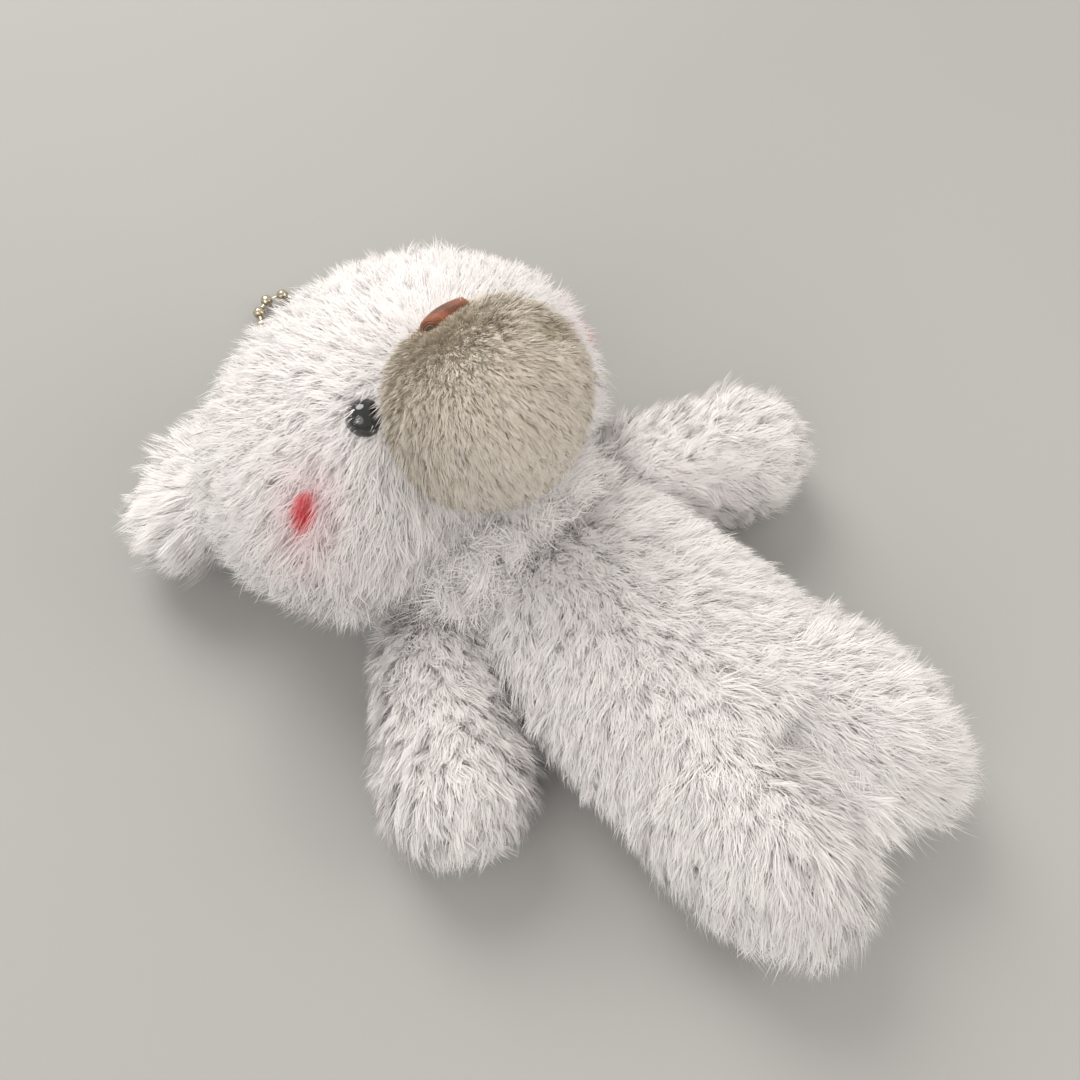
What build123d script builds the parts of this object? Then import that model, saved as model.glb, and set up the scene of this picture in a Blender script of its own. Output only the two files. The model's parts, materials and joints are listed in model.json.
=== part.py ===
from build123d import *
import os
from math import cos, degrees, hypot, pi, radians, sin, sqrt, tan

# A plush teddy bear keychain that lies on its back: +X is the bear's left, +Y runs from the feet to
# the crown, +Z is up out of the belly and the face. All lengths are millimetres, all angles degrees.
# While the pieces are made, x = 0 is the body's midline, y = 0 is mid chest and z = 0 is the table.
# export_all then moves everything so that the origin is under the middle of the whole toy.

os.makedirs("parts", exist_ok=True)

# Fabric, seams and clearances
panel_thickness = 1.5  # knitted backing with the dense root of its pile
seam_room = 1.0  # space inside a panel for the seam allowance and its thread
thread_diameter = 0.6
side_seam_end = 0.03  # share of a side's length left without stitching at each end
joint_gap = 0.4  # between pieces that move against each other
fit_gap = 0.12  # between pieces that lie still on each other
tip_flat = 0.08  # pressed off each tip of a rounded pad

# Torso: oval sections from the neck to the hips, (y, half width, half depth)
torso_sections = [
    (13.0, 15.0, 9.6),
    (5.0, 20.5, 11.8),
    (-9.0, 23.0, 12.6),
    (-23.0, 23.6, 12.8),
    (-38.0, 23.4, 12.6),
]
body_flat = 0.6  # how much of the back is pressed flat on the table

# Legs, which go on from the hips
leg_half_length = 21.5
leg_radius = 12.7
leg_centre_x = 12.1
leg_centre_y = -42.0
leg_cleft = 1.2  # between the two legs

# Arms
shoulder_x = 24.0
shoulder_y = 6.5
arm_root_radius = 9.8
arm_waist_radius = 8.4
arm_reach = 18.5  # from the shoulder's centre to the paw's centre
paw_radius = 10.6
sleeve_rim = 0.3  # the sleeve's wide end stays this far under the paw's surface
arm_flat = 0.5
arm_left_droop = 31.0  # below the line of the shoulders
arm_right_droop = 54.0
arm_lowest_droop = 54.0  # where an arm rests against the side

# Neck
neck_x = -1.6
neck_y = 12.0
neck_radius = 11.8
neck_rise = 12.6  # of its centre above the table
neck_torso_slope = 17.0  # the shoulders fall away from the neck, so that the head can nod
neck_head_slope = 9.0  # the jaw rises away from the neck

# Head
head_half_width = 33.4
head_radius = 24.7  # from the middle to the crown, the chin and the face
head_x = -2.8
head_y = 34.3
head_arm_room = 1.6  # the jaw stays this clear of the arms' roots, so that the head can turn
head_turn = 5.6  # the face looks this much to the bear's left
head_flat = 0.3  # how much of the back of the head is pressed flat on the table
head_seam_back = 2.0  # the seam between the face and the back of the head
head_seam_open = 40.0  # the seam stops this far round from the middle of the neck, on both sides

# Muzzle
muzzle_half_width = 14.0
muzzle_radius = 12.4
muzzle_stretch = 2.0  # straight stretch between the rounded base and the rounded end
muzzle_y = -16.2  # from the head's centre
muzzle_z = 19.4
muzzle_panel = 1.2
dart_x = 7.0  # from the muzzle's middle
dart_y = -3.0
dart_stitch_length = 2.4

# Nose embroidery, a wide bean above the muzzle's middle
nose_lift = 45.0  # round the muzzle, from straight ahead towards the brow
nose_width = 8.0
nose_height = 3.8
nose_bow = 5.2  # radius of the arc that the bean follows
nose_padding = 0.9

# Eyes: a domed button with a shank, held by a washer inside the head
eye_x = 14.2
eye_y = -7.4
eye_diameter = 5.2
eye_dome_height = 2.3
eye_shank_diameter = 1.8
eye_washer_diameter = 6.0
eye_washer_thickness = 1.0
eye_pile_lift = 0.3  # the pile holds the button this far off the fabric
eye_room_depth = 10.0  # of the hole for the shank
eye_washer_room_depth = 5.0

# Ears
ear_radius = 11.8
ear_half_thickness = 3.6
ear_out = 36.0  # direction of an ear from the head's centre, above the line through both eyes
ear_back = 21.0  # and how far that direction falls towards the back
ear_rise = 4.2  # from the fold to the middle of the ear
ear_tail = 1.4  # the ear goes on past its fold by this much

# Hanging loop and ball chain
cord_diameter = 1.1
hanging_loop_radius = 3.6
crown_back = 2.0  # the loop sits this far behind the head's middle
ball_diameter = 2.4
ball_pitch = 3.5
ball_count = 30
link_diameter = 0.8
chain_half_width = 4.75  # between the middle of the chain and one side of its loop
chain_slope = 12.0  # of the hanging part, from the vertical
chain_floor_bend = 4.5  # radius where the chain meets the table
chain_heading = 40.0  # from +Y towards +X, where it meets the table
chain_curve_radius = 26.4  # of the part on the table, which curves back towards -X
chain_stations = 12  # places along one side that the chain's line goes through
chain_turn_angles = (30, 60)  # and round each of its two ends
coupling_wall = 0.3
coupling_side_gap = 0.15
coupling_slot_gap = 0.3  # round a link, where it leaves through the channel's end
coupling_end_gap = 0.7  # room for the end ball to swing out
coupling_lip = 0.3  # the channel's edges reach this far past the balls' middle

huge = 400.0
cone_reach = 120.0
cone_tip = 0.001
standing = (Align.CENTER, Align.CENTER, Align.MIN)
hanging = (Align.CENTER, Align.CENTER, Align.MAX)
table_up = Pos(0, 0, huge / 2) * Box(huge, huge, huge)
body_mid = max(depth for _, _, depth in torso_sections) - body_flat
hip_y = torso_sections[-1][0]
neck = Vector(neck_x, neck_y, neck_rise)
head_centre = Vector(head_x, head_y, head_radius - head_flat)
head_place = Pos(head_centre) * Rot(0, head_turn, 0)
stuffing_inset = panel_thickness + seam_room


def spheroid(half_length, radius, inset=0.0):
    """A solid of revolution about X, whose outline is an ellipse with its two tips pressed flat."""
    outline = Ellipse(half_length - inset, radius - inset)
    lower_half = outline & Pos(0, -huge / 2) * Rectangle(2 * (half_length - inset - tip_flat), huge)
    return revolve(Plane.XZ * lower_half, Axis.X)


def thread_along(path):
    section = Plane(path @ 0, z_dir=path % 0) * Circle(thread_diameter / 2)
    return sweep(section, path=path)


def front_and_back(shell, place):
    """Cuts a shell at its seam, the plane z = 0 in the frame given."""
    front = shell & (place * Pos(0, 0, huge / 2) * Box(huge, huge, huge))
    back = shell & (place * Pos(0, 0, -huge / 2) * Box(huge, huge, huge))
    return front, back


def cone_round_neck(slope, towards):
    """The space within a cone whose tip is the neck's centre, opening towards +Y (1) or -Y (-1)."""
    cone = Cone(cone_tip, cone_reach / tan(radians(slope)), cone_reach, align=standing)
    return Pos(neck) * Rot(-90 * towards, 0, 0) * cone


# ---------------------------------------------------------------- torso


def torso_solid(inset=0.0):
    faces = []
    for y, half_width, half_depth in torso_sections:
        plane = Plane((0, y, body_mid), x_dir=(1, 0, 0), z_dir=(0, -1, 0))
        faces.append(plane * Ellipse(half_width - inset, half_depth - inset))
    return loft(faces)


def shoulder_place(side, droop=None):
    """The shoulder's centre, with local +X along the arm. side is 1 on the left, -1 on the right."""
    if droop is None:
        droop = arm_left_droop if side > 0 else arm_right_droop
    rise = paw_radius - arm_flat
    turn = -droop if side > 0 else 180 + droop
    return Pos(side * shoulder_x, shoulder_y, rise) * Rot(0, 0, turn)


def torso_trimmed(solid):
    solid = solid & cone_round_neck(neck_torso_slope, -1) & table_up
    solid = solid - Pos(neck) * Sphere(neck_radius + joint_gap)
    for side in (1, -1):
        solid = solid - arm_solid(side, -joint_gap, arm_lowest_droop)
        solid = solid - arm_solid(side, -joint_gap)
    half_gap = joint_gap / 2
    return solid & Pos(0, hip_y + half_gap + huge / 2, 0) * Box(huge, huge, huge)


def side_thread(edge):
    """Stitching down one side, clear of the hip and of the arm's seam."""
    return thread_along(ThreePointArc(edge @ side_seam_end, edge @ 0.5, edge @ (1 - side_seam_end)))


def make_torso():
    middle = Pos(0, 0, body_mid)
    shell = torso_trimmed(torso_solid() - torso_solid(panel_thickness))
    front, back = front_and_back(shell, middle)
    seam_solid = torso_trimmed(torso_solid(panel_thickness + seam_room / 2))
    seam_edges = section(seam_solid, Plane.XY.offset(body_mid)).edges().sort_by(Axis.X)
    right_edge, left_edge = seam_edges[0], seam_edges[-1]
    return {
        "body_front_panel": front,
        "body_back_panel": back,
        "body_stuffing": torso_trimmed(torso_solid(stuffing_inset)),
        "body_left_seam_thread": side_thread(left_edge),
        "body_right_seam_thread": side_thread(right_edge),
    }


# ---------------------------------------------------------------- legs


def leg_solid(side, inset=0.0):
    place = Pos(side * leg_centre_x, leg_centre_y, body_mid) * Rot(0, 0, 90)
    return place * spheroid(leg_half_length, leg_radius, inset) & table_up


def leg_trimmed(solid, side, inset=0.0):
    reach_x = leg_cleft / 2 + inset
    solid = solid & Pos(side * (reach_x + huge / 2), 0, 0) * Box(huge, huge, huge)
    return solid & Pos(0, hip_y - joint_gap / 2 - huge / 2, 0) * Box(huge, huge, huge)


def make_leg(side, name):
    room = leg_trimmed(leg_solid(side, panel_thickness), side, panel_thickness)
    shell = leg_trimmed(leg_solid(side), side) - room
    front, back = front_and_back(shell, Pos(0, 0, body_mid))
    return {
        f"leg_{name}_front_panel": front,
        f"leg_{name}_back_panel": back,
        f"leg_{name}_stuffing": leg_trimmed(leg_solid(side, stuffing_inset), side, stuffing_inset),
    }


# ---------------------------------------------------------------- arms


def arm_solid(side, inset=0.0, droop=None):
    root = Sphere(arm_root_radius - inset)
    paw = Pos(arm_reach, 0, 0) * Sphere(paw_radius - inset)
    sleeve_end = paw_radius - sleeve_rim - inset
    sleeve = Cone(arm_waist_radius - inset, sleeve_end, arm_reach, align=standing)
    return shoulder_place(side, droop) * (root + Rot(0, 90, 0) * sleeve + paw)


def make_arm(side, name):
    shell = (arm_solid(side) - arm_solid(side, panel_thickness)) & table_up
    front, back = front_and_back(shell, shoulder_place(side))
    return {
        f"arm_{name}_front_panel": front,
        f"arm_{name}_back_panel": back,
        f"arm_{name}_stuffing": arm_solid(side, stuffing_inset) & table_up,
    }


# ---------------------------------------------------------------- neck and head


def make_neck():
    ring = Torus(neck_radius + thread_diameter / 2 + fit_gap, thread_diameter / 2)
    return {
        "neck_stuffing": Pos(neck) * Sphere(neck_radius) & table_up,
        "neck_seam_thread": Pos(neck) * Rot(90, 0, 0) * ring,
    }


def head_trimmed(solid):
    solid = solid & cone_round_neck(neck_head_slope, 1) & table_up
    for side in (1, -1):
        shoulder = shoulder_place(side).position
        reach = hypot(shoulder.X - neck_x, shoulder.Z - neck_rise)
        swing = Torus(reach, arm_root_radius + head_arm_room)
        solid = solid - Pos(neck_x, shoulder.Y, neck_rise) * Rot(90, 0, 0) * swing
    return solid - Pos(neck) * Sphere(neck_radius + joint_gap)


def surface_frame(half_length, radius, x, y):
    """A frame on the front of a spheroid at x, y, with local +Z along the outward normal."""
    z = sqrt(radius**2 * (1 - (x / half_length) ** 2) - y**2)
    return Plane((x, y, z), x_dir=(1, 0, 0), z_dir=spheroid_normal(half_length, radius, x, y, z)).location


def spheroid_normal(half_length, radius, x, y, z):
    return Vector(x / half_length**2, y / radius**2, z / radius**2).normalized()


def head_solid(inset=0.0):
    return spheroid(head_half_width, head_radius, inset)


def eye_frame(side):
    return head_place * surface_frame(head_half_width, head_radius, side * eye_x, eye_y)


def eye_pieces(side):
    """The button with its shank, and the washer pushed on inside. Local +Z leaves the head."""
    radius = eye_diameter / 2
    dome_radius = (radius**2 + eye_dome_height**2) / (2 * eye_dome_height)
    dome = Pos(0, 0, eye_dome_height - dome_radius) * Sphere(dome_radius)
    dome = dome & Pos(0, 0, huge / 2) * Box(huge, huge, huge)
    washer_top = -panel_thickness - fit_gap
    shank_length = panel_thickness + eye_pile_lift + fit_gap + 2 * eye_washer_thickness
    shank = Cylinder(eye_shank_diameter / 2, shank_length, align=hanging)
    button = Pos(0, 0, eye_pile_lift) * (dome + shank)
    washer = Cylinder(eye_washer_diameter / 2, eye_washer_thickness, align=hanging)
    washer = washer - Cylinder(eye_shank_diameter / 2 + fit_gap, huge)
    return eye_frame(side) * button, eye_frame(side) * Pos(0, 0, washer_top) * washer


def eye_room(side):
    """Everything that an eye takes out of the head's panel and stuffing."""
    hole = Cylinder(eye_shank_diameter / 2 + fit_gap, eye_room_depth, align=hanging)
    washer_room = Cylinder(eye_washer_diameter / 2 + fit_gap, eye_washer_room_depth, align=hanging)
    return eye_frame(side) * (Pos(0, 0, 1) * hole + Pos(0, 0, -panel_thickness) * washer_room)


def make_head():
    middle = head_place * Pos(0, 0, -head_seam_back)
    shell = head_place * (head_solid() - head_solid(panel_thickness))
    stuffing = head_trimmed(head_place * head_solid(stuffing_inset))
    front, back = front_and_back(head_trimmed(shell), middle)
    pieces = {}
    for side, name in ((1, "left"), (-1, "right")):
        button, washer = eye_pieces(side)
        pieces[f"eye_{name}"] = button
        pieces[f"eye_{name}_washer"] = washer
        front = front - eye_room(side)
        stuffing = stuffing - eye_room(side)
    shrink = sqrt(1 - (head_seam_back / head_radius) ** 2)
    seam_inset = panel_thickness + seam_room / 2
    seam_line = EllipticalCenterArc(
        (0, 0),
        head_half_width * shrink - seam_inset,
        head_radius * shrink - seam_inset,
        head_seam_open - 90,
        arc_size=360 - 2 * head_seam_open,
    )
    thread = middle * thread_along(seam_line)
    pieces["head_front_panel"] = front
    pieces["head_back_panel"] = back
    pieces["head_stuffing"] = stuffing
    pieces["head_seam_thread"] = thread
    return pieces


def muzzle_solid(inset=0.0):
    """Two rounded ends with a straight stretch between them, standing on the face."""
    rounded = spheroid(muzzle_half_width, muzzle_radius, inset)
    outline = Ellipse(muzzle_half_width - inset, muzzle_radius - inset)
    outline = outline & Rectangle(2 * (muzzle_half_width - inset - tip_flat), huge)
    stretch = extrude(outline, amount=muzzle_stretch)
    return Pos(0, muzzle_y, muzzle_z) * (rounded + stretch + Pos(0, 0, muzzle_stretch) * rounded)


def make_muzzle():
    face = head_solid(-fit_gap)
    cover = muzzle_solid() - muzzle_solid(muzzle_panel) - face
    stuffing = muzzle_solid(muzzle_panel + fit_gap) - face
    lift = radians(nose_lift)
    nose_normal = Vector(0, sin(lift), cos(lift))
    end = Vector(0, muzzle_y, muzzle_z + muzzle_stretch)
    nose_point = end + nose_normal * muzzle_radius
    nose_plane = Plane(nose_point, x_dir=(1, 0, 0), z_dir=nose_normal)
    half_angle = degrees((nose_width - nose_height) / 2 / nose_bow)
    bow = CenterArc((0, -nose_bow), nose_bow, 90 - half_angle, 2 * half_angle)
    bean = trace(bow, nose_height)
    for corner in (bow @ 0, bow @ 1):
        bean += Pos(corner) * Circle(nose_height / 2)
    prism = nose_plane * extrude(bean, amount=nose_height, both=True)
    skin = muzzle_solid(-nose_padding - fit_gap) - muzzle_solid(-fit_gap)
    seam = surface_frame(muzzle_half_width, muzzle_radius, dart_x, dart_y)
    return {
        "muzzle_cover": head_place * cover,
        "muzzle_stuffing": head_place * stuffing,
        "nose_embroidery": head_place * (skin & prism),
        "muzzle_dart_stitch": head_place * Pos(end) * seam * dart_stitch(),
    }


def dart_stitch():
    """One short bar of thread that closes the dart at the muzzle's side."""
    bar = Rot(90, 0, 0) * Cylinder(thread_diameter / 2, dart_stitch_length)
    ends = [Pos(0, side * dart_stitch_length / 2, 0) * Sphere(thread_diameter / 2) for side in (1, -1)]
    return Pos(0, 0, thread_diameter / 2 + fit_gap) * (bar + ends[0] + ends[1])


# ---------------------------------------------------------------- ears


def ear_frame(side):
    """The middle of an ear's fold: local +Y out of the head, +X along the fold, +Z to the ear's front."""
    out, back = radians(ear_out), radians(ear_back)
    direction = Vector(side * cos(out) * cos(back), sin(out) * cos(back), -sin(back))
    across_head = hypot(direction.Y, direction.Z) / head_radius
    point = direction * (1 / hypot(direction.X / head_half_width, across_head))
    normal = spheroid_normal(head_half_width, head_radius, point.X, point.Y, point.Z)
    fold = normal.cross(Vector(0, 0, 1)).normalized()
    plane = Plane(point + normal * (ear_half_thickness + joint_gap), x_dir=fold, z_dir=fold.cross(normal))
    return head_place * plane.location


def make_ear(side, name):
    pad = Cylinder(ear_radius, 2 * ear_half_thickness)
    pad = fillet(pad.edges().filter_by(GeomType.CIRCLE), ear_half_thickness - tip_flat)
    pad = Pos(0, ear_rise, 0) * pad & Pos(0, huge / 2 - ear_tail, 0) * Box(huge, huge, huge)
    ear = ear_frame(side) * pad
    front, back = front_and_back(ear & table_up, ear_frame(side))
    return {f"ear_{name}_front_panel": front, f"ear_{name}_back_panel": back}


# ---------------------------------------------------------------- hanging loop and ball chain

ball_radius = ball_diameter / 2
chain_rest = ball_radius + coupling_side_gap + coupling_wall  # the coupling lies on the table
crown = (head_place * Pos(0, head_radius, -crown_back)).position
loop_centre = crown + Vector(0, hanging_loop_radius - cord_diameter / 2, 0)
hang_reach = hanging_loop_radius - cord_diameter / 2 - fit_gap - ball_radius
hang_point = loop_centre + Vector(0, hang_reach, 0)


def heading_vector(angle):
    return Vector(sin(radians(angle)), cos(radians(angle)), 0)


def side_vector(angle):
    return Vector(cos(radians(angle)), -sin(radians(angle)), 0)


def chain_middle(u):
    """A point u along the middle of the chain's loop, from the hanging loop, and the way across it."""
    slope = radians(chain_slope)
    bend = pi / 2 - slope
    drop = hang_point.Z - chain_rest - chain_floor_bend * (1 - sin(slope))
    straight = drop / cos(slope)
    ahead, across = heading_vector(chain_heading), side_vector(chain_heading)
    if u < straight:
        return hang_point + ahead * (u * sin(slope)) - Vector(0, 0, u * cos(slope)), across
    arc = min((u - straight) / chain_floor_bend, bend)
    level = slope + arc
    run = straight * sin(slope) + chain_floor_bend * (cos(slope) - cos(level))
    height = chain_rest + chain_floor_bend * (1 - sin(level))
    flat = max(0.0, u - straight - chain_floor_bend * bend)
    turn = degrees(flat / chain_curve_radius)
    centre = hang_point + ahead * run - across * chain_curve_radius
    point = centre + side_vector(chain_heading - turn) * chain_curve_radius
    return Vector(point.X, point.Y, height), side_vector(chain_heading - turn)


def chain_path():
    """The closed line through the middle of the balls: down one side, round the end and back."""
    loop_length = ball_count * ball_pitch / 2 + 2 * chain_half_width - pi * chain_half_width
    side_length = loop_length - 2 * chain_half_width
    sides = []
    for side in (1, -1):
        stations = []
        for angle in chain_turn_angles:
            stations.append((chain_half_width * (1 - sin(radians(angle))), cos(radians(angle))))
        stations.reverse()
        for index in range(chain_stations + 1):
            stations.append((chain_half_width + side_length * index / chain_stations, 1.0))
        for angle in chain_turn_angles:
            before_end = chain_half_width * (1 - sin(radians(angle)))
            stations.append((loop_length - before_end, cos(radians(angle))))
        line = []
        for u, share in stations:
            middle, across = chain_middle(u)
            line.append(middle + across * (side * chain_half_width * share))
        sides.append(line)
    top, _ = chain_middle(0)
    end, _ = chain_middle(loop_length)
    return Spline([top] + sides[0] + [end] + sides[1][::-1], periodic=True)


def ball_centres():
    path = chain_path()
    centres = []
    for index in range(ball_count):
        point = path.position_at(index / ball_count)
        centres.append(Vector(point.X, point.Y, max(point.Z, chain_rest)))
    return centres


def link_between(start, end, start_gap=fit_gap, end_gap=fit_gap):
    """The short bar between two balls."""
    along = (end - start).normalized()
    first = start + along * (ball_radius + start_gap)
    length = (end - start).length - 2 * ball_radius - start_gap - end_gap
    bar = Cylinder(link_diameter / 2, length, align=standing)
    return Plane(first, z_dir=along).location * bar


fold_ball = 6  # the balls on both sides where the hanging part meets the part on the table
far_ball = ball_count // 2
coupling_ball = fold_ball + 2  # this ball and the next are the chain's two ends, in the coupling


def coupling(first, second):
    """A folded channel round the chain's two end balls, open away from the loop."""
    along = (second - first).normalized()
    inner_length = (second - first).length + ball_diameter + coupling_side_gap + coupling_end_gap
    inner_radius = ball_radius + coupling_side_gap
    outer_length = inner_length + 2 * coupling_wall
    middle = (first + second) * 0.5 + along * ((coupling_end_gap - coupling_side_gap) / 2)
    place = Plane(middle, x_dir=along, z_dir=(0, 0, -1)).location
    tube = Cylinder(inner_radius + coupling_wall, outer_length) - Cylinder(inner_radius, inner_length)
    mouth = Pos(0, coupling_lip + huge / 2, 0) * Box(huge, huge, huge)
    slot_width = link_diameter + 2 * coupling_slot_gap
    slot = Box(huge, slot_width, slot_width)
    return place * (Rot(0, 90, 0) * tube - mouth - slot)


def chain_body(index, is_link):
    """The stiff run that a ball, or the link after it, belongs to."""
    reach = min(index, ball_count - index)
    if is_link:
        following = index + 1
        reach = max(reach, min(following, ball_count - following))
    if reach <= fold_ball:
        return "upper"
    return "free" if coupling_ball < index < far_ball else "lower"


def make_chain():
    balls = ball_centres()
    hinge_gap = joint_gap / 2
    pieces = {}
    for index, centre in enumerate(balls):
        following = (index + 1) % ball_count
        ball = Pos(centre) * Sphere(ball_radius)
        pieces.setdefault(f"chain_{chain_body(index, False)}_balls", []).append(ball)
        if index == coupling_ball:
            continue
        start_gap = hinge_gap if index == fold_ball else fit_gap
        end_gap = hinge_gap if following in (far_ball, ball_count - fold_ball) else fit_gap
        link = link_between(centre, balls[following], start_gap, end_gap)
        pieces.setdefault(f"chain_{chain_body(index, True)}_links", []).append(link)
    pieces["chain_coupling"] = coupling(balls[coupling_ball], balls[coupling_ball + 1])
    return pieces


def make_hanging_loop():
    across = side_vector(chain_heading)
    ring = Plane(loop_centre, z_dir=across).location * Torus(hanging_loop_radius, cord_diameter / 2)
    return {"hanging_loop": ring - head_place * head_solid(-fit_gap)}


# ---------------------------------------------------------------- all pieces


def make_all():
    pieces = {}
    pieces.update(make_torso())
    for side, name in ((1, "left"), (-1, "right")):
        pieces.update(make_arm(side, name))
        pieces.update(make_leg(side, name))
        pieces.update(make_ear(side, name))
    pieces.update(make_neck())
    pieces.update(make_head())
    pieces.update(make_muzzle())
    pieces.update(make_hanging_loop())
    pieces.update(make_chain())
    return pieces


def as_shape(piece):
    """One shape for a piece that may be a list of separate solids."""
    shapes = piece if isinstance(piece, list) else [piece]
    solids = [solid for shape in shapes for solid in shape.solids()]
    return solids[0] if len(solids) == 1 else Compound(children=solids)


def centring(shapes):
    """The move that puts the origin under the middle of the whole toy."""
    boxes = [shape.bounding_box() for shape in shapes.values()]
    low_x, high_x = min(box.min.X for box in boxes), max(box.max.X for box in boxes)
    low_y, high_y = min(box.min.Y for box in boxes), max(box.max.Y for box in boxes)
    return Vector(-(low_x + high_x) / 2, -(low_y + high_y) / 2, -min(box.min.Z for box in boxes))


def export_all():
    shapes = {name: as_shape(piece) for name, piece in make_all().items()}
    move = Pos(centring(shapes))
    for name, shape in shapes.items():
        export_step(move * shape, f"parts/{name}.step")


if __name__ == "__main__":
    export_all()
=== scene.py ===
import json
import math

import bmesh
import bpy
import numpy as np
from mathutils import Matrix, Vector
from mathutils.bvhtree import BVHTree
from mathutils.kdtree import KDTree


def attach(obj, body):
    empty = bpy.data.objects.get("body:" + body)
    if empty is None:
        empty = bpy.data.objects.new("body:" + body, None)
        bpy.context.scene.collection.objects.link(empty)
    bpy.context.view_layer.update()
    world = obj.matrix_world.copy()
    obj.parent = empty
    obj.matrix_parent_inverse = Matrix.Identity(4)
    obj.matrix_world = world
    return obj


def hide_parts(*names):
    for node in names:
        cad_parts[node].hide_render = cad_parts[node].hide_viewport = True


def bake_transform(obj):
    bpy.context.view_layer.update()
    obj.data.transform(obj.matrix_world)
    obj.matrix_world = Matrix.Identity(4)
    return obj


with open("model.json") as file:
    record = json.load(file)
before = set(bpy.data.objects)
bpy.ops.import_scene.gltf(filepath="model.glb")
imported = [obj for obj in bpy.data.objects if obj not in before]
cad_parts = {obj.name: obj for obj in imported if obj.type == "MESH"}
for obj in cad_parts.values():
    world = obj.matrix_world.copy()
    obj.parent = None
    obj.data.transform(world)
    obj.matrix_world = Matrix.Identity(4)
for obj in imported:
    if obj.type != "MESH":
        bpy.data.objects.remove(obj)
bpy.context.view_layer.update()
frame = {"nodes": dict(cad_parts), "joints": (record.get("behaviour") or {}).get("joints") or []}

# The little bear lies on its back: +X is its left, +Y runs to the crown, +Z is up out of the face.
# Pile and stitches are worked out in millimetres and turned to metres when their mesh is made.
mm = 0.001
turnOfFace = math.radians(5.6)  # the face looks this much to the bear's left
rng = np.random.default_rng(7)


def nodePoints(*names):
    parts = []
    for name in names:
        mesh = frame["nodes"][name].data
        points = np.empty(len(mesh.vertices) * 3)
        mesh.vertices.foreach_get("co", points)
        parts.append(points.reshape(-1, 3) / mm)
    return np.concatenate(parts)


def jointPlace(name):
    joint = next(j for j in frame["joints"] if j["name"] == name)
    return np.array(joint["pos_m"]) / mm


def unit(vectors):
    return vectors / np.maximum(np.linalg.norm(vectors, axis=-1, keepdims=True), 1e-9)


def panels(part):
    return f"{part}_front_panel", f"{part}_back_panel"


# Landmarks of the bear that its pieces share
headRadius = 24.7  # from the middle of the head to the crown
muzzleRadius = 12.4
headPoints = nodePoints(*panels("head"))
headTop = headPoints.max(axis=0)
headMiddle = np.array([
    (headPoints[:, 0].min() + headTop[0]) / 2,
    headTop[1] - headRadius,
    headTop[2] - headRadius,
])
faceAhead = np.array([math.sin(turnOfFace), 0.0, math.cos(turnOfFace)])
faceAcross = np.array([math.cos(turnOfFace), 0.0, -math.sin(turnOfFace)])
faceUp = np.array([0.0, 1.0, 0.0])
muzzlePoints = nodePoints("muzzle_cover")
muzzleMiddle = np.array([
    (muzzlePoints[:, 0].min() + muzzlePoints[:, 0].max()) / 2,
    muzzlePoints[:, 1].min() + muzzleRadius,
    muzzlePoints[:, 2].max() - muzzleRadius,
])
neckPlace = jointPlace("neck_nod")
hipPlace = {side: jointPlace(f"leg_{side}_bend") for side in ("left", "right")}
shoulder = {side: jointPlace(f"arm_{side}_swing") for side in ("left", "right")}
earFold = {side: jointPlace(f"ear_{side}_flop") for side in ("left", "right")}


def hexColour(text):
    parts = [int(text[i:i + 2], 16) / 255 for i in (1, 3, 5)]
    return [c / 12.92 if c <= 0.04045 else ((c + 0.055) / 1.055) ** 2.4 for c in parts] + [1.0]


def addNode(tree, kind, settings=None, links=None):
    node = tree.nodes.new(kind)
    for key, value in (settings or {}).items():
        if key == "stops":
            ramp = node.color_ramp
            while len(ramp.elements) < len(value):
                ramp.elements.new(0.5)
            for stop, (place, colour) in zip(ramp.elements, value):
                stop.position = place
                stop.color = hexColour(colour)
        else:
            setattr(node, key, value)
    for socket, value in (links or {}).items():
        if isinstance(value, bpy.types.NodeSocket):
            tree.links.new(value, node.inputs[socket])
        else:
            node.inputs[socket].default_value = value
    return node


def newFinish(name, surface):
    material = bpy.data.materials.new(name)
    material.use_nodes = True
    shader = material.node_tree.nodes["Principled BSDF"]
    for socket, value in surface.items():
        shader.inputs[socket].default_value = value
    return material, material.node_tree, shader


def acrylicPile(name, look):
    # Brushed acrylic sliver pile: greyer in the depth, where little light reaches the roots,
    # and nearly white at the tips, with each fibre a shade apart from the next.
    material, tree, shader = newFinish(name, look["surface"])
    along = addNode(tree, "ShaderNodeAttribute", {"attribute_name": "along"})
    tone = addNode(tree, "ShaderNodeAttribute", {"attribute_name": "tone"})
    depth = addNode(tree, "ShaderNodeValToRGB", {"stops": look["rootToTip"]}, {"Fac": along.outputs["Fac"]})
    shade = addNode(tree, "ShaderNodeValToRGB", {"stops": look["shades"]}, {"Fac": tone.outputs["Fac"]})
    colour = addNode(
        tree, "ShaderNodeMix", {"data_type": "RGBA", "blend_type": "MULTIPLY"},
        {0: 1.0, 6: depth.outputs["Color"], 7: shade.outputs["Color"]},
    )
    # the dye channel: real pink dye on the cheeks, and painted shade round the muzzle's dart
    tint = addNode(tree, "ShaderNodeAttribute", {"attribute_name": "dye"})
    dye = addNode(tree, "ShaderNodeValToRGB", {"stops": look["dyeAndShadeColours"]}, {"Fac": tint.outputs["Fac"]})
    dyedAndShaded = addNode(
        tree, "ShaderNodeMix", {"data_type": "RGBA", "blend_type": "MULTIPLY"},
        {0: 1.0, 6: colour.outputs[2], 7: dye.outputs["Color"]},
    )
    tree.links.new(dyedAndShaded.outputs[2], shader.inputs["Base Color"])
    return material


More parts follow.
